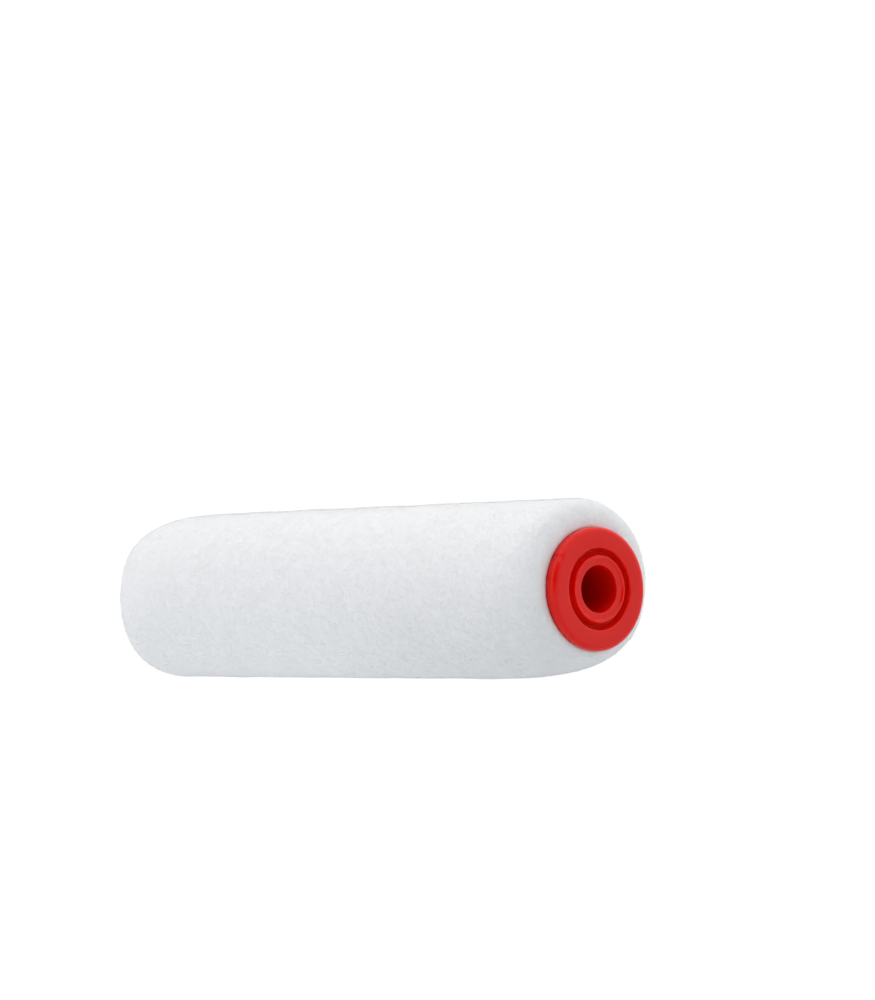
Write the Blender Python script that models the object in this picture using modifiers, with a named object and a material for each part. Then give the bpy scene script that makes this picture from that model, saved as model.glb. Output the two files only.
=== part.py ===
"""A mini paint roller's sleeve: a pile cover on a plastic tube, with a flanged cap pressed into each end.

The sleeve lies along Y with its middle at the origin. The straight wire of a roller frame passes through
the bores of both caps, and the sleeve turns on it. Radii are built outwards from that wire, and places
along the sleeve are counted from the flat faces of the caps. Lengths are in metres.
"""

import math

import bmesh
import bpy
from mathutils import Matrix, Vector

# Overall
SLEEVE_LENGTH = 0.100  # between the flat faces of the two caps
TURN_STEPS = 48  # sides of every turned piece
FILLET_STEPS = 2
FIT_GAP = 0.0003  # between pieces that are pressed, bonded or rest together

# Frame wire, which isn't part of the sleeve
WIRE_RADIUS = 0.0030
WIRE_CLEARANCE = 0.00015

# End cap, outwards from the bore
HUB_WALL = 0.00132
HUB_DISH = 0.0002  # the hub's face lies this far below its lip, which is level with the flat face
LIP_WIDTH = 0.00027
LIP_SLOPE_WIDTH = 0.00022  # from the lip down to the hub's face
GROOVE_WIDTH = 0.00093
GROOVE_DEPTH = 0.0011  # from the flat face
WEB_THICKNESS = 0.0015  # behind the groove, joins the hub to the spigot
SPIGOT_WALL = 0.0008
SPIGOT_DEPTH = 0.0090  # from the flat face. Behind the web it is a ring round an open pocket
SPIGOT_LEAD_IN = 0.0005
HUB_TAIL = 0.0050  # the hub runs this far past the spigot
FLANGE_THICKNESS = 0.0017
FLANGE_OVERHANG = 0.00055  # beyond the outside of the tube
SHOULDER_WIDTH = 0.0008
SHOULDER_DEPTH = 0.0006
SHOULDER_STEPS = 4
MOULDED_EDGE = 0.00012  # radius of the cap's small edges

# Crush ribs that hold the spigot in the tube
RIB_COUNT = 6
RIB_HEIGHT = 0.0002
RIB_RADIUS = 0.00035
RIB_SIDES = 12

# Core tube
TUBE_WALL = 0.0010
TUBE_EDGE = 0.0002

# Cover: a backing cloth, and the pile that stands on it
BACKING_THICKNESS = 0.0005
PILE_HEIGHT = 0.0035
PILE_TUCK = 0.0010  # thickness of the pile where it turns in over the end of the backing
PILE_END_RIM = 0.0014  # the flat of the pile's end face shows this far beyond the flange
PILE_END_LENGTH = 0.0123  # the stretch over which the end rounds off
PILE_END_POWER = 3.8  # 2 rounds off as an ellipse, and more is fuller
PILE_END_STEPS = 9

# Worked out, outwards from the wire
BORE_RADIUS = WIRE_RADIUS + WIRE_CLEARANCE
HUB_RADIUS = BORE_RADIUS + HUB_WALL
GROOVE_RADIUS = HUB_RADIUS + GROOVE_WIDTH
SPIGOT_RADIUS = GROOVE_RADIUS + SPIGOT_WALL
TUBE_BORE_RADIUS = SPIGOT_RADIUS + RIB_HEIGHT + FIT_GAP
TUBE_RADIUS = TUBE_BORE_RADIUS + TUBE_WALL
FLANGE_RADIUS = TUBE_RADIUS + FLANGE_OVERHANG
COVER_BORE_RADIUS = TUBE_RADIUS + FIT_GAP
BACKING_RADIUS = COVER_BORE_RADIUS + BACKING_THICKNESS
PILE_BORE_RADIUS = BACKING_RADIUS + FIT_GAP
COVER_RADIUS = PILE_BORE_RADIUS + PILE_HEIGHT
PILE_RIM_RADIUS = FLANGE_RADIUS + PILE_END_RIM

# Worked out inwards from a cap's flat face
WEB_DEPTH = GROOVE_DEPTH + WEB_THICKNESS
HUB_DEPTH = SPIGOT_DEPTH + HUB_TAIL

# Worked out along the sleeve, from its middle
TUBE_END = SLEEVE_LENGTH / 2 - FLANGE_THICKNESS - FIT_GAP
BACKING_END = TUBE_END - PILE_TUCK - FIT_GAP

MERGE_DISTANCE = 0.000005
SHARP_ANGLE = math.radians(35)
FRONT = math.radians(90)  # turns local Z to -Y
REAR = math.radians(-90)  # turns local Z to +Y


def clear_scene():
    for old in list(bpy.data.objects):
        bpy.data.objects.remove(old, do_unlink=True)


def new_collection(name):
    collection = bpy.data.collections.new(name)
    bpy.context.scene.collection.children.link(collection)
    return collection


def new_material(name, colour, roughness, sheen=0.0):
    material = bpy.data.materials.new(name)
    material.use_nodes = True
    shader = material.node_tree.nodes["Principled BSDF"]
    shader.inputs["Base Color"].default_value = (*colour, 1.0)
    shader.inputs["Roughness"].default_value = roughness
    shader.inputs["Metallic"].default_value = 0.0
    shader.inputs["Sheen Weight"].default_value = sheen
    material.diffuse_color = (*colour, 1.0)
    return material


def filleted(corners):
    """The closed outline through (radius, height, fillet) corners, where a fillet above 0 becomes an arc."""
    outline = []
    for index, (radius, height, fillet) in enumerate(corners):
        corner = Vector((radius, height))
        if fillet == 0:
            outline.append(corner)
            continue
        before = (Vector(corners[index - 1][:2]) - corner).normalized()
        after = (Vector(corners[(index + 1) % len(corners)][:2]) - corner).normalized()
        half_angle = before.angle(after) / 2
        centre = corner + (before + after).normalized() * fillet / math.sin(half_angle)
        reach = fillet / math.tan(half_angle)
        start = corner + before * reach - centre
        end = corner + after * reach - centre
        sweep = -start.angle_signed(end)
        for step in range(FILLET_STEPS + 1):
            outline.append(centre + Matrix.Rotation(sweep * step / FILLET_STEPS, 2) @ start)
    return outline


def shoulder_corners():
    """The flange's rounded shoulder, a quarter of an ellipse from the flat face down to the rim."""
    corners = []
    for step in range(SHOULDER_STEPS + 1):
        angle = math.pi / 2 * step / SHOULDER_STEPS
        radius = FLANGE_RADIUS - SHOULDER_WIDTH * (1 - math.sin(angle))
        corners.append((radius, -SHOULDER_DEPTH * (1 - math.cos(angle)), 0))
    return corners


def cap_outline():
    """A cap's section, with its flat face at height 0: rim, spigot, pocket and hub, then bore, lip and groove."""
    edge = MOULDED_EDGE
    lip_radius = HUB_RADIUS - LIP_WIDTH
    return filleted([
        *shoulder_corners(),
        (FLANGE_RADIUS, -FLANGE_THICKNESS, edge),
        (SPIGOT_RADIUS, -FLANGE_THICKNESS, 0),
        (SPIGOT_RADIUS, -SPIGOT_DEPTH + SPIGOT_LEAD_IN, 0),
        (SPIGOT_RADIUS - SPIGOT_LEAD_IN / 2, -SPIGOT_DEPTH, 0),
        (GROOVE_RADIUS, -SPIGOT_DEPTH, 0),
        (GROOVE_RADIUS, -WEB_DEPTH, 0),
        (HUB_RADIUS, -WEB_DEPTH, 0),
        (HUB_RADIUS, -HUB_DEPTH, edge),
        (BORE_RADIUS, -HUB_DEPTH, edge),
        (BORE_RADIUS, -HUB_DISH, edge),
        (lip_radius - LIP_SLOPE_WIDTH, -HUB_DISH, 0),
        (lip_radius, 0, 0),
        (HUB_RADIUS, 0, edge),
        (HUB_RADIUS, -GROOVE_DEPTH, 0),
        (GROOVE_RADIUS, -GROOVE_DEPTH, 0),
        (GROOVE_RADIUS, 0, edge),
    ])


def tube_outline():
    return filleted([
        (TUBE_RADIUS, TUBE_END, TUBE_EDGE),
        (TUBE_RADIUS, -TUBE_END, TUBE_EDGE),
        (TUBE_BORE_RADIUS, -TUBE_END, TUBE_EDGE),
        (TUBE_BORE_RADIUS, TUBE_END, TUBE_EDGE),
    ])


def backing_outline():
    return [
        (BACKING_RADIUS, BACKING_END),
        (BACKING_RADIUS, -BACKING_END),
        (COVER_BORE_RADIUS, -BACKING_END),
        (COVER_BORE_RADIUS, BACKING_END),
    ]


def pile_end():
    """The rounded end of the pile, from the rim of its end face up to the full radius: (radius, height)."""
    points = []
    for step in range(PILE_END_STEPS + 1):
        angle = math.pi / 2 * step / PILE_END_STEPS
        rise = math.sin(angle) ** (2 / PILE_END_POWER)
        inset = 1 - math.cos(angle) ** (2 / PILE_END_POWER)
        radius = PILE_RIM_RADIUS + (COVER_RADIUS - PILE_RIM_RADIUS) * rise
        points.append((radius, TUBE_END - PILE_END_LENGTH * inset))
    return points


def pile_outline():
    top = pile_end()
    bottom = [(radius, -height) for radius, height in reversed(top)]
    tuck_height = TUBE_END - PILE_TUCK
    return [
        *top,
        *bottom,
        (COVER_BORE_RADIUS, -TUBE_END),
        (COVER_BORE_RADIUS, -tuck_height),
        (PILE_BORE_RADIUS, -tuck_height),
        (PILE_BORE_RADIUS, tuck_height),
        (COVER_BORE_RADIUS, tuck_height),
        (COVER_BORE_RADIUS, TUBE_END),
    ]


def turned(name, outline, material, collection):
    """A closed outline of (radius, height) points, which runs down its outer side, turned about local Z."""
    section = bmesh.new()
    corners = [section.verts.new((radius, 0, height)) for radius, height in outline]
    for start, end in zip(corners, corners[1:] + corners[:1]):
        section.edges.new((start, end))
    mesh = bpy.data.meshes.new(name)
    section.to_mesh(mesh)
    section.free()
    mesh.materials.append(material)
    piece = bpy.data.objects.new(name, mesh)
    collection.objects.link(piece)
    turn = piece.modifiers.new("turn", "SCREW")
    turn.axis = "Z"
    turn.angle = 2 * math.pi
    turn.steps = TURN_STEPS
    turn.render_steps = TURN_STEPS
    turn.use_merge_vertices = True
    turn.merge_threshold = MERGE_DISTANCE
    return piece


def crush_ribs(name, material, collection):
    """Low round ridges along the spigot, from inside the flange to the spigot's lead-in."""
    length = SPIGOT_DEPTH - SPIGOT_LEAD_IN - FLANGE_THICKNESS / 2
    middle = -(SPIGOT_DEPTH - SPIGOT_LEAD_IN + FLANGE_THICKNESS / 2) / 2
    reach = SPIGOT_RADIUS + RIB_HEIGHT - RIB_RADIUS
    shape = bmesh.new()
    for index in range(RIB_COUNT):
        spread = Matrix.Rotation(2 * math.pi * index / RIB_COUNT, 4, "Z")
        bmesh.ops.create_cone(
            shape,
            cap_ends=True,
            segments=RIB_SIDES,
            radius1=RIB_RADIUS,
            radius2=RIB_RADIUS,
            depth=length,
            matrix=spread @ Matrix.Translation((reach, 0, middle)),
        )
    mesh = bpy.data.meshes.new(name)
    shape.to_mesh(mesh)
    shape.free()
    mesh.materials.append(material)
    ribs = bpy.data.objects.new(name, mesh)
    ribs.hide_render = True
    ribs.display_type = "WIRE"
    collection.objects.link(ribs)
    return ribs


def end_cap(name, material, sleeve, helpers, side, axis):
    """A cap whose flat face looks out along side * Y. Its origin is the middle of that face."""
    cap = turned(name, cap_outline(), material, sleeve)
    ribs = crush_ribs(name + "_ribs", material, helpers)
    join = cap.modifiers.new("crush_ribs", "BOOLEAN")
    join.operation = "UNION"
    join.solver = "EXACT"
    join.object = ribs
    for piece in (cap, ribs):
        piece.parent = axis
        piece.location = (0, side * SLEEVE_LENGTH / 2, 0)
        piece.rotation_euler = (FRONT if side < 0 else REAR, 0, 0)
    return cap


def settle(piece):
    """Applies the modifiers, and shades the piece smooth up to its sharp edges."""
    bpy.context.view_layer.update()
    evaluated = piece.evaluated_get(bpy.context.evaluated_depsgraph_get())
    mesh = bpy.data.meshes.new_from_object(evaluated)
    piece.modifiers.clear()
    piece.data = mesh
    mesh.shade_smooth()
    mesh.set_sharp_from_angle(angle=SHARP_ANGLE)


def build():
    clear_scene()
    sleeve = new_collection("mini_roller_sleeve")
    helpers = new_collection("helpers")
    axis = bpy.data.objects.new("sleeve_axis", None)
    sleeve.objects.link(axis)

    pile_white = new_material("pile_white", (0.88, 0.88, 0.87), 0.95, sheen=0.3)
    backing_white = new_material("backing_white", (0.70, 0.69, 0.66), 0.90)
    tube_grey = new_material("tube_grey", (0.55, 0.56, 0.57), 0.45)
    cap_red = new_material("cap_red", (0.62, 0.022, 0.024), 0.38)

    cover = turned("pile_cover", pile_outline(), pile_white, sleeve)
    backing = turned("backing_cloth", backing_outline(), backing_white, sleeve)
    tube = turned("core_tube", tube_outline(), tube_grey, sleeve)
    for piece in (cover, backing, tube):
        piece.parent = axis
        piece.rotation_euler = (REAR, 0, 0)
    front = end_cap("end_cap_front", cap_red, sleeve, helpers, -1, axis)
    rear = end_cap("end_cap_rear", cap_red, sleeve, helpers, 1, axis)
    for piece in (cover, backing, tube, front, rear):
        settle(piece)


build()
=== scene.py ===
"""The looks of a mini paint roller's sleeve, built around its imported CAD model. Lengths are in metres.

The sleeve lies along Y. Its cover is a felt-like pile: a soft lumpy body with short fibres standing on it.
"""

import math

import bpy
import numpy as np
from mathutils import Matrix, Vector

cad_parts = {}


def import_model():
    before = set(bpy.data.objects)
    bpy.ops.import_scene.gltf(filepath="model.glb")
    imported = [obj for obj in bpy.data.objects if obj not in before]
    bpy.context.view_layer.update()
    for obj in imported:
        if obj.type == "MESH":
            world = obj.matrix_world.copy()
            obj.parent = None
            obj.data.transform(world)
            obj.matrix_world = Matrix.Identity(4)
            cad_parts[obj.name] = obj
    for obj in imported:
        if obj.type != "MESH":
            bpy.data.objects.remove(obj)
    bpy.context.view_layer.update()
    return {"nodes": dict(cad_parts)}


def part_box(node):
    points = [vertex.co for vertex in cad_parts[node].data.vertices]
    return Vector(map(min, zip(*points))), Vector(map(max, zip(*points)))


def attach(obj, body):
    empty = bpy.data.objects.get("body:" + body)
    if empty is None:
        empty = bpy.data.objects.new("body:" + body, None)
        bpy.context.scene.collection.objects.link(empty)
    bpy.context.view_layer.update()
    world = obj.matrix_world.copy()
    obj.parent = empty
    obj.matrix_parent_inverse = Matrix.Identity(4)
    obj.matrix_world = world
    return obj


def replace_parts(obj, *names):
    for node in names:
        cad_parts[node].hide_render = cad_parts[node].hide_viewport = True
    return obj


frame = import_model()

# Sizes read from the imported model
COVER_LOW, COVER_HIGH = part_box("pile_cover")
CAP_LOW, CAP_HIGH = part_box("end_cap_rear")
COVER_END = COVER_HIGH.y
FLANGE_RADIUS = CAP_HIGH.z
TUBE_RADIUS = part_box("core_tube")[1].z
FACE = CAP_HIGH.y  # how far the caps' flat faces are from the middle
FLOOR_HEIGHT = COVER_LOW.z

# End cap. These are the CAD model's sizes, apart from the groove's vee, the gate's mark and the fillets.
BORE_RADIUS = 0.00315
HUB_RADIUS = 0.00447
HUB_DISH = 0.0002
LIP_RADIUS = 0.0042
LIP_SLOPE_WIDTH = 0.00022
GROOVE_RADIUS = 0.0054
GROOVE_DEPTH = 0.0011
GROOVE_VEE = 0.0006  # how much of the depth is a vee-shaped floor
WEB_DEPTH = 0.0026
SPIGOT_RADIUS = 0.0062
SPIGOT_DEPTH = 0.0090
SPIGOT_LEAD_IN = 0.0005
SPIGOT_FILLET = 0.0002
HUB_DEPTH = CAP_HIGH.y - CAP_LOW.y  # the hub is as long as the whole cap
FLANGE_THICKNESS = 0.0017
RIB_COUNT = 6  # low round ribs along the spigot
RIB_HEIGHT = 0.0002
RIB_RADIUS = 0.00035
SHOULDER_WIDTH = 0.0008
SHOULDER_DEPTH = 0.0006
CAP_STEPS = 480
SHOULDER_STEPS = 16
FILLET_STEPS = 6
GATE_ANGLES = (146, 153)  # the flat left by the mould's gate on the shoulder, in degrees from +X up to +Z
GATE_DEPTH = 0.00012
EDGE_FILLET = 0.0001  # most of the small edges and corners of the face
WIDE_FILLET = 0.0002
RIM_FILLET = 0.00015
BORE_FILLET = 0.00008
LIP_FOOT_FILLET = 0.00012
SHARP_ANGLE = math.radians(50)

# Camera, nearly level with the sleeve and looking at its near end
CAMERA_PLACE = Vector((-0.28956, -0.36558, -0.00270))
CAMERA_HEADING = math.radians(39.67)  # from +Y towards +X
CAMERA_PITCH = math.radians(-0.115)
CAMERA_ROLL = math.radians(-0.659)
CAMERA_LENS = 117.135
CAMERA_SHIFT = 0.118

# Light. A zone of the sky has a direction, an inner and an outer angle in degrees from it, and what it
# multiplies the light by inside and outside them. The floor's shade has a centre and two radii instead.
CAMERA_WHITE = 1.1  # the floor and the sky as the camera sees them
FLOOR_GLOW = 1.0
FLOOR_TINT = (0.96, 0.98, 1.0, 1.0)
FLOOR_SHADE = ((-0.02, -0.06), 0.015, 0.07, 0.84, 1.0)
FLOOR_DROP = 0.0006  # how far the floor is below the CAD model's cover, to clear the fibres
FLOOR_HALF_WIDTH = 4.0
SKY_GLOW = 1.3
SKY_ZONES = [
    ((-0.63, -0.777, 0.0), 26, 42, 0.04, SKY_GLOW),  # the dark side, behind the camera
    ((0.63, -0.777, 0.0), 20, 40, 0.85, 1.0),  # what the cap's flat face reflects
    ((0.1, -1.0, 0.0), 12, 30, 0.35, 1.0),  # a darker patch straight in front of the near end
    ((0.0, 0.777, 0.63), 22, 38, 1.27, 1.0),  # the soft box
]

# Pile. Its ends are uneven, so some values change with the sine of the angle from +X up to +Z. They are
# (steady value, amount times the sine, amount times its square).
PILE_AROUND = 400
PILE_ALONG = 246
PILE_TIP_RADIUS = (0.01227, 0.00011, 0.0)
PILE_TAPER = 0.00014  # how much the tips' radius grows from the middle to the far cap
PILE_RIM_RADIUS = FLANGE_RADIUS - 0.0001
PILE_FAR_REACH = (0.04935, 0.00089, 0.0)  # where the tips end, from the middle
PILE_FAR_LENGTH = (0.01487, 0.0071, -0.00153)  # the stretch over which the end rounds off
PILE_FAR_POWER = (1.81, -0.25, 1.22)  # 2 rounds off as an ellipse, and more is fuller
PILE_NEAR_REACH = (0.0487, -0.00025, 0.0002)
PILE_NEAR_LENGTH = (0.01024, -0.00822, 0.0024)
PILE_NEAR_POWER = (2.73, 0.40, 0.0)
PILE_BODY_DROP = 0.00019  # the body lies this far below the tips of the fibres
PILE_TUCK = 0.00005  # how far the pile's edge is pulled back at the rim
PILE_TUCK_POWER = 2.0  # more keeps the pull closer to the rim
ROUNDING_STEPS = 400
PILE_LUMPS = [(0.009, 0.000028), (0.0032, 0.000012), (0.0012, 0.00001)]  # (wavelength, height) of each kind
PILE_BORE_GAP = 0.0003  # between the tube and the body
PILE_BORE_INSET = 0.0002  # how far the bore's ends are set back from those of the CAD model's cover
FIBRE_COUNT = 480000
FIBRES_A_PIECE = 48000
FIBRE_LENGTH = (0.00020, 0.00036)
FIBRE_HALF_WIDTH = (0.000007, 0.000012)
FIBRE_ROOT = 0.00006  # how far a fibre starts below the body's surface
FIBRE_LEAN = 0.32
TUFT_LEANS = [(0.0009, 0.11), (0.0035, 0.08)]  # (wavelength, lean) of each kind of tuft
FIBRE_SOFTNESS = 0.85  # how much of a fibre's normal is the body's
RIPPLE_WAVES = 14
RIPPLE_SPREAD = (0.75, 1.3)  # the waves' frequencies, against the one asked for
LUMP_SEED = 7
FIBRE_SEED = 17
TUFT_SEED = 27
TUFT_SEED_STEP = 10  # from one kind of tuft to the next


def new_material(name):
    """A node material: (material, its tree, its Principled shader)."""
    material = bpy.data.materials.new(name)
    material.use_nodes = True
    tree = material.node_tree
    return material, tree, tree.nodes["Principled BSDF"]


def link(name, data):
    """A new object of the data, in the scene."""
    piece = bpy.data.objects.new(name, data)
    bpy.context.scene.collection.objects.link(piece)
    return piece


def link_mesh(name, points, faces, smooth=True):
    mesh = bpy.data.meshes.new(name)
    mesh.from_pydata(points, [], faces)
    mesh.update()
    if smooth:
        mesh.shade_smooth()
    return link(name, mesh)


# ---------------------------------------------------------------------------------------------------------
# Materials

NOISE_RANGE = (0.3, 0.7)  # most of a noise's values lie in it


def noise(tree, scale, detail=2.0, stretch=(1, 1, 1)):
    """Noise over the object. A stretch below 1 draws it out along that axis."""
    coordinates = tree.nodes.new("ShaderNodeTexCoord")
    stretched = tree.nodes.new("ShaderNodeVectorMath")
    stretched.operation = "MULTIPLY"
    stretched.inputs[1].default_value = stretch
    texture = tree.nodes.new("ShaderNodeTexNoise")
    texture.inputs["Scale"].default_value = scale
    texture.inputs["Detail"].default_value = detail
    tree.links.new(coordinates.outputs["Object"], stretched.inputs[0])
    tree.links.new(stretched.outputs["Vector"], texture.inputs["Vector"])
    return texture.outputs["Fac"]


def ramp(tree, value, stops):
    """A colour ramp of (position, colour) stops."""
    node = tree.nodes.new("ShaderNodeValToRGB")
    elements = node.color_ramp.elements
    while len(elements) < len(stops):
        elements.new(0.5)
    for element, (position, colour) in zip(elements, stops):
        element.position = position
        element.color = (*colour, 1.0)
    tree.links.new(value, node.inputs["Fac"])
    return node.outputs["Color"]


def spread(tree, value, low, high):
    """A noise spread from low to high."""
    node = tree.nodes.new("ShaderNodeMapRange")
    node.inputs["From Min"].default_value = NOISE_RANGE[0]
    node.inputs["From Max"].default_value = NOISE_RANGE[1]
    node.inputs["To Min"].default_value = low
    node.inputs["To Max"].default_value = high
    tree.links.new(value, node.inputs["Value"])
    return node.outputs["Result"]


def bump(tree, shader, value, distance, strength=1.0):
    node = tree.nodes.new("ShaderNodeBump")
    node.inputs["Strength"].default_value = strength
    node.inputs["Distance"].default_value = distance
    tree.links.new(value, node.inputs["Height"])
    tree.links.new(node.outputs["Normal"], shader.inputs["Normal"])


def pile_material():
    """White microfibre: slightly uneven in tone, with a soft sheen."""
    material, tree, shader = new_material("pile_white")
    mottle = noise(tree, 900.0, detail=3.0)
    tree.links.new(
        ramp(tree, mottle, [(0.30, (0.803, 0.815, 0.834)), (0.70, (0.843, 0.855, 0.869))]),
        shader.inputs["Base Color"],
    )
    shader.inputs["Roughness"].default_value = 1.0
    shader.inputs["Specular IOR Level"].default_value = 0.1
    shader.inputs["Sheen Weight"].default_value = 0.3
    shader.inputs["Sheen Roughness"].default_value = 0.5
    bump(tree, shader, noise(tree, 2600.0), 0.00006)
    return material


def fibre_material():
    """White fibres, some of them a little greyer than others."""
    material, tree, shader = new_material("pile_fibres")
    tree.links.new(
        ramp(tree, noise(tree, 1400.0), [(0.30, (0.843, 0.850, 0.862)), (0.70, (0.855, 0.862, 0.872))]),
        shader.inputs["Base Color"],
    )
    shader.inputs["Roughness"].default_value = 1.0
    shader.inputs["Specular IOR Level"].default_value = 0.1
    shader.inputs["Subsurface Weight"].default_value = 1.0
    shader.inputs["Subsurface Radius"].default_value = (1.0, 1.0, 1.0)
    shader.inputs["Subsurface Scale"].default_value = 0.0001
    shader.inputs["Sheen Weight"].default_value = 0.5
    shader.inputs["Sheen Roughness"].default_value = 0.5
    return material


def cap_material():
    """Red moulded plastic with a soft gloss and the faint unevenness of a mould's surface."""
    material, tree, shader = new_material("cap_red")
    tone = noise(tree, 350.0, detail=3.0)
    tree.links.new(
        ramp(tree, tone, [(0.25, (0.67, 0.005, 0.0015)), (0.75, (0.70, 0.007, 0.0025))]),
        shader.inputs["Base Color"],
    )
    tree.links.new(spread(tree, noise(tree, 1500.0), 0.12, 0.17), shader.inputs["Roughness"])
    shader.inputs["Specular IOR Level"].default_value = 0.25
    shader.inputs["Subsurface Weight"].default_value = 1.0
    shader.inputs["Subsurface Radius"].default_value = (1.0, 0.05, 0.04)
    shader.inputs["Subsurface Scale"].default_value = 0.0015
    bump(tree, shader, noise(tree, 2500.0, detail=4.0), 0.000004, 0.3)
    return material


def tube_material():
    """Extruded polypropylene with faint lengthwise drawing marks."""
    material, tree, shader = new_material("tube_grey")
    tone = noise(tree, 600.0)
    tree.links.new(
        ramp(tree, tone, [(0.3, (0.50, 0.51, 0.52)), (0.7, (0.58, 0.59, 0.60))]),
        shader.inputs["Base Color"],
    )
    marks = noise(tree, 2500.0, stretch=(1, 0.02, 1))
    tree.links.new(spread(tree, marks, 0.38, 0.52), shader.inputs["Roughness"])
    bump(tree, shader, marks, 0.00001)
    return material


def backing_material():
    """Off-white knitted cloth, mottled and finely bumpy."""
    material, tree, shader = new_material("backing_cloth")
    tone = noise(tree, 1500.0, detail=3.0)
    tree.links.new(
        ramp(tree, tone, [(0.3, (0.60, 0.59, 0.56)), (0.7, (0.72, 0.71, 0.68))]),
        shader.inputs["Base Color"],
    )
    shader.inputs["Roughness"].default_value = 0.95
    bump(tree, shader, noise(tree, 3000.0), 0.0001)
    return material


# ---------------------------------------------------------------------------------------------------------
# Turned shapes


def filleted(corners):
    """The closed outline through (radius, depth, fillet) corners, where a fillet above 0 becomes an arc."""
    outline = []
    for index, (radius, depth, fillet) in enumerate(corners):
        corner = np.array((radius, depth))
        if fillet == 0:
            outline.append(corner)
            continue
        before = np.array(corners[index - 1][:2]) - corner
        after = np.array(corners[(index + 1) % len(corners)][:2]) - corner
        before = before / np.linalg.norm(before)
        after = after / np.linalg.norm(after)
        half_angle = math.acos(float(np.clip(before @ after, -1, 1))) / 2
        middle = (before + after) / np.linalg.norm(before + after)
        centre = corner + middle * fillet / math.sin(half_angle)
        start = corner + before * fillet / math.tan(half_angle) - centre
        end = corner + after * fillet / math.tan(half_angle) - centre
        sweep = math.pi - 2 * half_angle
        for step in range(FILLET_STEPS + 1):
            share = step / FILLET_STEPS
            mixed = start * math.sin((1 - share) * sweep) + end * math.sin(share * sweep)
            outline.append(centre + mixed / math.sin(sweep))
    return outline


def turned(outline, steps):
    """(points, faces) of a closed (radius, y) outline turned about Y. Points are [outline point][step]."""
    angles = np.arange(steps) * 2 * math.pi / steps
    radius, height = np.array(outline).T
    points = np.stack([
        radius[:, None] * np.cos(angles),
        np.repeat(height[:, None], steps, axis=1),
        radius[:, None] * np.sin(angles),
    ], axis=-1)
    return points, grid_faces(len(outline), steps)


def grid_faces(rows, columns):
    """Quads of a grid that closes on itself both ways."""
    row, column = np.meshgrid(np.arange(rows), np.arange(columns), indexing="ij")
    below, beside = (row + 1) % rows, (column + 1) % columns
    corners = [(row, column), (row, beside), (below, beside), (below, column)]
    return np.stack([place * columns + step for place, step in corners], axis=-1).reshape(-1, 4)


# ---------------------------------------------------------------------------------------------------------
# End caps


def cap_outline():
    """A cap's section as (radius, depth) from its flat face inwards, going down its outer side."""
    outline = []
    for step in range(SHOULDER_STEPS + 1):
        angle = math.pi / 2 * step / SHOULDER_STEPS
        outline.append((
            FLANGE_RADIUS - SHOULDER_WIDTH * (1 - math.sin(angle)),
            SHOULDER_DEPTH * (1 - math.cos(angle)),
            0,
        ))
    return filleted([
        *outline,
        (FLANGE_RADIUS, FLANGE_THICKNESS, RIM_FILLET),
        (SPIGOT_RADIUS, FLANGE_THICKNESS, SPIGOT_FILLET),
        (SPIGOT_RADIUS, SPIGOT_DEPTH - SPIGOT_LEAD_IN, 0),
        (SPIGOT_RADIUS - SPIGOT_LEAD_IN / 2, SPIGOT_DEPTH, EDGE_FILLET),
        (GROOVE_RADIUS, SPIGOT_DEPTH, EDGE_FILLET),
        (GROOVE_RADIUS, WEB_DEPTH, WIDE_FILLET),
        (HUB_RADIUS, WEB_DEPTH, WIDE_FILLET),
        (HUB_RADIUS, HUB_DEPTH, WIDE_FILLET),
        (BORE_RADIUS, HUB_DEPTH, WIDE_FILLET),
        (BORE_RADIUS, HUB_DISH, BORE_FILLET),
        (LIP_RADIUS - LIP_SLOPE_WIDTH, HUB_DISH, LIP_FOOT_FILLET),
        (LIP_RADIUS, 0, EDGE_FILLET),
        (HUB_RADIUS, 0, EDGE_FILLET),
        (HUB_RADIUS, GROOVE_DEPTH - GROOVE_VEE, EDGE_FILLET),
        ((HUB_RADIUS + GROOVE_RADIUS) / 2, GROOVE_DEPTH, EDGE_FILLET),
        (GROOVE_RADIUS, GROOVE_DEPTH - GROOVE_VEE, EDGE_FILLET),
        (GROOVE_RADIUS, 0, WIDE_FILLET),
    ])


def ribs(angle):
    """The reach of the spigot with its ribs over its plain radius, at each angle in degrees."""
    pitch = 360 / RIB_COUNT
    turn = np.radians((angle + pitch / 2) % pitch - pitch / 2)
    centre = SPIGOT_RADIUS + RIB_HEIGHT - RIB_RADIUS
    inside = np.maximum(RIB_RADIUS**2 - (centre * np.sin(turn)) ** 2, 0)
    reach = np.where(inside > 0, centre * np.cos(turn) + np.sqrt(inside), 0)
    return np.maximum(reach / SPIGOT_RADIUS, 1)


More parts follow.
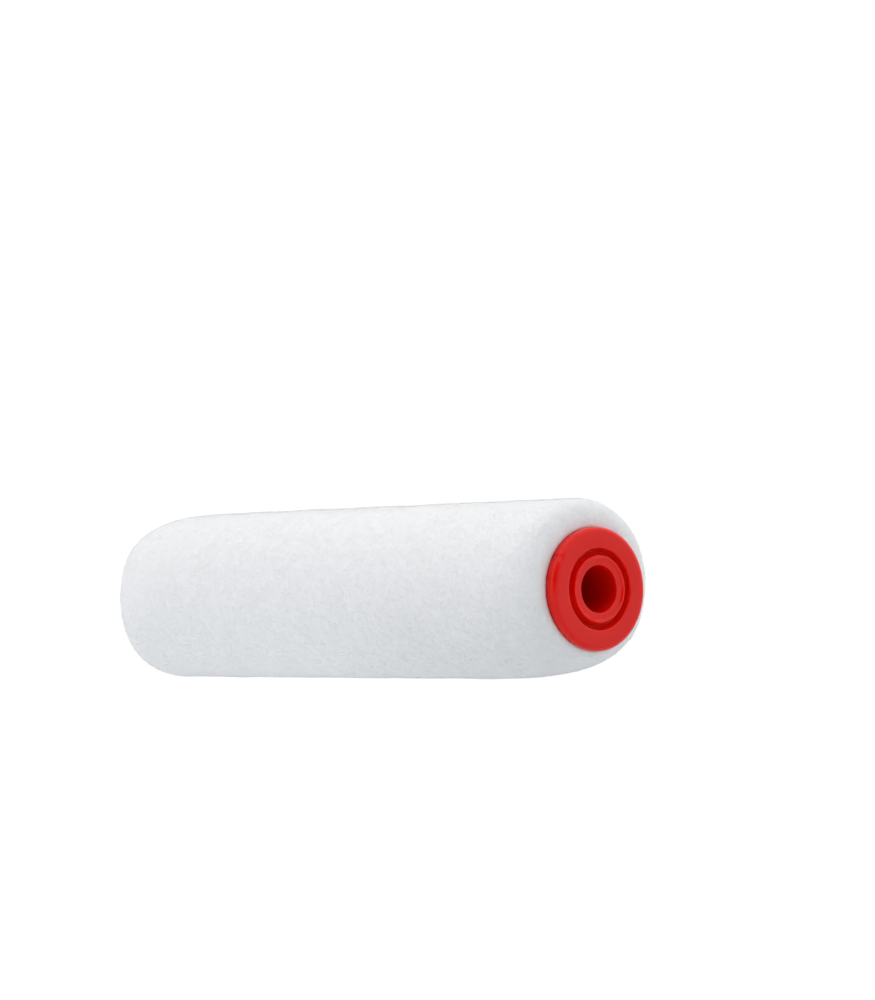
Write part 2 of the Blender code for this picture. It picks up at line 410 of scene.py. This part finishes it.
def end_cap(name, side, material):
    """A cap whose flat face looks along side * Y, with its ribs and the gate's mark."""
    outline = [(radius, side * (FACE - depth)) for radius, depth in cap_outline()]
    points, faces = turned(outline, CAP_STEPS)
    angle = np.degrees(np.arange(CAP_STEPS)) * 2 * math.pi / CAP_STEPS
    shape = np.array(outline)
    depth = FACE - side * shape[:, 1]
    spigot = (shape[:, 0] >= SPIGOT_RADIUS) & (shape[:, 0] < SPIGOT_RADIUS + SPIGOT_FILLET)
    spigot &= depth > FLANGE_THICKNESS
    points[spigot] *= np.stack([ribs(angle), np.ones(CAP_STEPS), ribs(angle)], axis=1)
    gate = (angle > GATE_ANGLES[0]) & (angle < GATE_ANGLES[1])
    sink = 1 - GATE_DEPTH / FLANGE_RADIUS
    points[: SHOULDER_STEPS + 2, gate] *= (sink, 1, sink)
    if side < 0:
        faces = faces[:, ::-1]
    cap = link_mesh(name, points.reshape(-1, 3), faces)
    cap.data.set_sharp_from_angle(angle=SHARP_ANGLE)
    cap.data.materials.append(material)
    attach(cap, "root")
    return cap


# ---------------------------------------------------------------------------------------------------------
# Pile


def ripple(points, wavelength, seed):
    """Smooth noise of about that wavelength, mostly within -2 to 2, from waves in seeded directions."""
    random = np.random.default_rng(seed)
    total = np.zeros(len(points))
    for _ in range(RIPPLE_WAVES):
        direction = random.normal(size=3)
        direction *= random.uniform(*RIPPLE_SPREAD) * 2 * math.pi / (wavelength * np.linalg.norm(direction))
        total += np.sin(points @ direction + random.uniform(0, 2 * math.pi))
    return total * math.sqrt(2 / RIPPLE_WAVES)


def by_angle(values, angle):
    """The value at an angle from +X up to +Z, of one that changes round the end."""
    steady, by_sine, by_square = values
    sine = np.sin(angle)
    return steady + by_sine * sine + by_square * sine**2


def pile_end(side, reach, length, power, angle, rounding):
    """The tips' surface at one end, from the flange out to the full radius, as (radius, y) rows."""
    power = by_angle(power, angle)
    rise = np.sin(rounding) ** (2 / power)
    inset = 1 - np.cos(rounding) ** (2 / power)
    tuck = PILE_TUCK * (1 - rise) ** PILE_TUCK_POWER
    height = by_angle(reach, angle) - by_angle(length, angle) * inset - tuck
    full_radius = by_angle(PILE_TIP_RADIUS, angle) + PILE_TAPER * side * height / FACE
    radius = PILE_RIM_RADIUS + (full_radius - PILE_RIM_RADIUS) * rise
    return np.stack([radius, side * height], axis=1)


def pile_surface():
    """Points of the tips' surface, as [place along][place around], running from +Y to -Y."""
    angle = np.arange(PILE_AROUND) * 2 * math.pi / PILE_AROUND
    rounding = np.linspace(0, math.pi / 2, ROUNDING_STEPS)
    columns = []
    for turn in angle:
        far = pile_end(1, PILE_FAR_REACH, PILE_FAR_LENGTH, PILE_FAR_POWER, turn, rounding)
        near = pile_end(-1, PILE_NEAR_REACH, PILE_NEAR_LENGTH, PILE_NEAR_POWER, turn, rounding)
        columns.append(spaced(np.concatenate([far, near[::-1]]), PILE_ALONG))
    radius, height = np.stack(columns, axis=1).transpose(2, 0, 1)
    return np.stack([radius * np.cos(angle), height, radius * np.sin(angle)], axis=-1)


def spaced(outline, count):
    """The outline with count points spaced evenly along it."""
    steps = np.linalg.norm(np.diff(outline, axis=0), axis=1)
    along = np.concatenate([[0], np.cumsum(steps)])
    wanted = np.linspace(0, along[-1], count)
    return np.stack([np.interp(wanted, along, outline[:, axis]) for axis in (0, 1)], axis=1)


def unit(vectors):
    return vectors / np.linalg.norm(vectors, axis=-1, keepdims=True)


def outward(surface):
    """Unit normals of a surface of [place along][place around] points that closes round."""
    along = np.gradient(surface, axis=0)
    around = np.roll(surface, -1, axis=1) - np.roll(surface, 1, axis=1)
    return unit(np.cross(around, along))


def pile_body(material):
    """The pile's body: rounded ends, gentle lumps and a straight bore. The cloth lies within its wall."""
    tips = pile_surface()
    directions = outward(tips)
    flat = tips.reshape(-1, 3)
    lumps = np.zeros(len(flat))
    for index, (wavelength, height) in enumerate(PILE_LUMPS):
        lumps += height * ripple(flat, wavelength, LUMP_SEED + index)
    body = tips + directions * (lumps.reshape(PILE_ALONG, PILE_AROUND, 1) - PILE_BODY_DROP)
    angle = np.arange(PILE_AROUND) * 2 * math.pi / PILE_AROUND
    bore = TUBE_RADIUS + PILE_BORE_GAP
    ring = np.stack([bore * np.cos(angle), 0 * angle, bore * np.sin(angle)], axis=-1)
    ends = [ring + (0, side * (COVER_END - PILE_BORE_INSET), 0) for side in (-1, 1)]
    points = np.concatenate([body, ends]).reshape(-1, 3)
    piece = link_mesh("pile_cover_body", points, grid_faces(PILE_ALONG + 2, PILE_AROUND))
    piece.data.materials.append(material)
    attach(piece, "root")
    return piece, body, directions


def fibres(surface, directions, material):
    """Short tapered fibres all over the body, which lean together in small tufts."""
    random = np.random.default_rng(FIBRE_SEED)
    rows, columns = surface.shape[:2]
    ring = np.hypot(surface[..., 0], surface[..., 2]).mean(axis=1)
    weight = ring[:-1] / ring[:-1].sum()
    row = random.choice(rows - 1, size=FIBRE_COUNT, p=weight)
    column = random.integers(0, columns, FIBRE_COUNT)
    u, v = random.random((2, FIBRE_COUNT, 1))
    beside = (column + 1) % columns

    def place(field):
        top = field[row, column] * (1 - u) + field[row, beside] * u
        low = field[row + 1, column] * (1 - u) + field[row + 1, beside] * u
        return top * (1 - v) + low * v

    root = place(surface)
    normal = unit(place(directions))
    lean = random.normal(size=(FIBRE_COUNT, 3)) * FIBRE_LEAN
    for index, (wavelength, amount) in enumerate(TUFT_LEANS):
        seed = TUFT_SEED + index * TUFT_SEED_STEP
        for axis in range(3):
            lean[:, axis] += amount * ripple(root, wavelength, seed + axis)
    lean -= normal * (lean * normal).sum(axis=1, keepdims=True)
    direction = unit(normal + lean)
    length = random.uniform(*FIBRE_LENGTH, (FIBRE_COUNT, 1))
    width = random.uniform(*FIBRE_HALF_WIDTH, (FIBRE_COUNT, 1))
    side = unit(np.cross(direction, random.normal(size=(FIBRE_COUNT, 3))))
    across = np.cross(direction, side)
    base = root - normal * FIBRE_ROOT
    turns = (0, 2 * math.pi / 3, 4 * math.pi / 3)
    spokes = [side * math.cos(turn) + across * math.sin(turn) for turn in turns]
    points = np.stack([*(base + width * spoke for spoke in spokes), base + direction * length], axis=1)
    soft = normal * FIBRE_SOFTNESS
    normals = np.stack([*(unit(soft + spoke * (1 - FIBRE_SOFTNESS)) for spoke in spokes), normal], axis=1)
    for index, start in enumerate(range(0, FIBRE_COUNT, FIBRES_A_PIECE)):
        part = slice(start, start + FIBRES_A_PIECE)
        piece = fibre_mesh(f"pile_fibres_{index + 1}", points[part], normals[part])
        piece.data.materials.append(material)
        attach(piece, "root")


def fibre_mesh(name, points, normals):
    """A mesh of three-sided spikes, from the four points and four normals of each.

    In the UV map, each spike has a square cell, and each of its triangles has a quarter of the cell.
    """
    count = len(points)
    shape = np.array([(0, 1, 3), (1, 2, 3), (2, 0, 3), (0, 2, 1)])
    faces = (shape[None] + 4 * np.arange(count)[:, None, None]).reshape(-1, 3)
    mesh = bpy.data.meshes.new(name)
    mesh.vertices.add(count * 4)
    mesh.vertices.foreach_set("co", points.astype(np.float32).ravel())
    mesh.loops.add(faces.size)
    mesh.loops.foreach_set("vertex_index", faces.astype(np.int32).ravel())
    mesh.polygons.add(len(faces))
    mesh.polygons.foreach_set("loop_start", np.arange(0, faces.size, 3, dtype=np.int32))
    mesh.update(calc_edges=True)
    mesh.shade_smooth()
    across = math.ceil(math.sqrt(count))
    cell = np.stack([np.arange(count) % across, np.arange(count) // across], axis=1)[:, None, None]
    quarter = np.array([(0.0, 0.0), (0.5, 0.0), (0.0, 0.5), (0.5, 0.5)])[:, None]
    triangle = np.array([(0.1, 0.1), (0.4, 0.1), (0.1, 0.4)])
    layer = mesh.uv_layers.new(name="OFBake")
    layer.data.foreach_set("uv", ((cell + quarter + triangle) / across).astype(np.float32).ravel())
    mesh.normals_split_custom_set_from_vertices(normals.reshape(-1, 3).astype(np.float32))
    return link(name, mesh)


# ---------------------------------------------------------------------------------------------------------
# Stage, light and camera


def floor():
    """A white light table, a little dimmer round the near end. The camera sees it as plain white."""
    material, tree, _ = new_material("stage_floor")
    glow = tree.nodes.new("ShaderNodeEmission")
    glow.inputs["Color"].default_value = FLOOR_TINT
    strength = tree.nodes.new("ShaderNodeMix")
    strength.data_type = "FLOAT"
    path = tree.nodes.new("ShaderNodeLightPath")
    tree.links.new(path.outputs["Is Camera Ray"], strength.inputs["Factor"])
    centre, inner, outer, inside, outside = FLOOR_SHADE
    coordinates = tree.nodes.new("ShaderNodeTexCoord")
    distance = tree.nodes.new("ShaderNodeVectorMath")
    distance.operation = "DISTANCE"
    distance.inputs[1].default_value = (*centre, FLOOR_HEIGHT)
    tree.links.new(coordinates.outputs["Object"], distance.inputs[0])
    shade = tree.nodes.new("ShaderNodeMapRange")
    shade.interpolation_type = "SMOOTHSTEP"
    shade.inputs["From Min"].default_value = inner
    shade.inputs["From Max"].default_value = outer
    shade.inputs["To Min"].default_value = inside * FLOOR_GLOW
    shade.inputs["To Max"].default_value = outside * FLOOR_GLOW
    tree.links.new(distance.outputs["Value"], shade.inputs["Value"])
    tree.links.new(shade.outputs["Result"], strength.inputs["A"])
    strength.inputs["B"].default_value = CAMERA_WHITE
    tree.links.new(strength.outputs["Result"], glow.inputs["Strength"])
    tree.links.new(glow.outputs["Emission"], tree.nodes["Material Output"].inputs["Surface"])
    height = FLOOR_HEIGHT - FLOOR_DROP
    signs = [(-1, -1), (1, -1), (1, 1), (-1, 1)]
    corners = [(x * FLOOR_HALF_WIDTH, y * FLOOR_HALF_WIDTH, height) for x, y in signs]
    plane = link_mesh("stage_floor", corners, [(0, 1, 2, 3)], smooth=False)
    plane.data.materials.append(material)


def zone(tree, direction, inner, outer, inside, outside):
    """A round zone of the sky, with one value within the inner angle and another beyond the outer one."""
    coordinates = tree.nodes.new("ShaderNodeTexCoord")
    dot = tree.nodes.new("ShaderNodeVectorMath")
    dot.operation = "DOT_PRODUCT"
    dot.inputs[1].default_value = Vector(direction).normalized()
    tree.links.new(coordinates.outputs["Generated"], dot.inputs[0])
    patch = tree.nodes.new("ShaderNodeMapRange")
    patch.interpolation_type = "SMOOTHSTEP"
    patch.inputs["From Min"].default_value = math.cos(math.radians(outer))
    patch.inputs["From Max"].default_value = math.cos(math.radians(inner))
    patch.inputs["To Min"].default_value = outside
    patch.inputs["To Max"].default_value = inside
    tree.links.new(dot.outputs["Value"], patch.inputs["Value"])
    return patch.outputs["Result"]


def product(tree, first, second):
    node = tree.nodes.new("ShaderNodeMath")
    node.operation = "MULTIPLY"
    tree.links.new(first, node.inputs[0])
    tree.links.new(second, node.inputs[1])
    return node.outputs["Value"]


def world():
    """A white studio: dark behind the camera, dimmer in front of the near end, brightest high at the back.

    The camera itself sees plain white.
    """
    studio = bpy.data.worlds.new("studio")
    bpy.context.scene.world = studio
    studio.use_nodes = True
    tree = studio.node_tree
    background = tree.nodes["Background"]
    strength = zone(tree, *SKY_ZONES[0])
    for values in SKY_ZONES[1:]:
        strength = product(tree, strength, zone(tree, *values))
    path = tree.nodes.new("ShaderNodeLightPath")
    seen = tree.nodes.new("ShaderNodeMix")
    seen.data_type = "FLOAT"
    tree.links.new(path.outputs["Is Camera Ray"], seen.inputs["Factor"])
    tree.links.new(strength, seen.inputs["A"])
    seen.inputs["B"].default_value = CAMERA_WHITE
    background.inputs["Color"].default_value = (1.0, 1.0, 1.0, 1.0)
    tree.links.new(seen.outputs["Result"], background.inputs["Strength"])


def camera():
    data = bpy.data.cameras.new("camera")
    data.lens = CAMERA_LENS
    data.sensor_width = 36.0
    data.shift_y = CAMERA_SHIFT
    data.clip_start = 0.01
    data.clip_end = 50.0
    eye = link("camera", data)
    level = math.cos(CAMERA_PITCH)
    forward = Vector((
        math.sin(CAMERA_HEADING) * level,
        math.cos(CAMERA_HEADING) * level,
        math.sin(CAMERA_PITCH),
    ))
    right = Vector((math.cos(CAMERA_HEADING), -math.sin(CAMERA_HEADING), 0))
    right = Matrix.Rotation(-CAMERA_ROLL, 3, forward) @ right
    turn = Matrix((right, right.cross(forward), -forward)).transposed()
    eye.matrix_world = Matrix.Translation(CAMERA_PLACE) @ turn.to_4x4()
    bpy.context.scene.camera = eye


def main():
    camera()
    world()
    floor()
    bpy.context.scene.view_settings.view_transform = "Standard"

    red = cap_material()
    for name, side in (("end_cap_front", -1), ("end_cap_rear", 1)):
        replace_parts(end_cap(name + "_moulding", side, red), name)
    body, surface, directions = pile_body(pile_material())
    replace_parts(body, "pile_cover")
    fibres(surface, directions, fibre_material())
    for node, material in (("core_tube", tube_material()), ("backing_cloth", backing_material())):
        for slot in frame["nodes"][node].material_slots:
            slot.material = material


main()
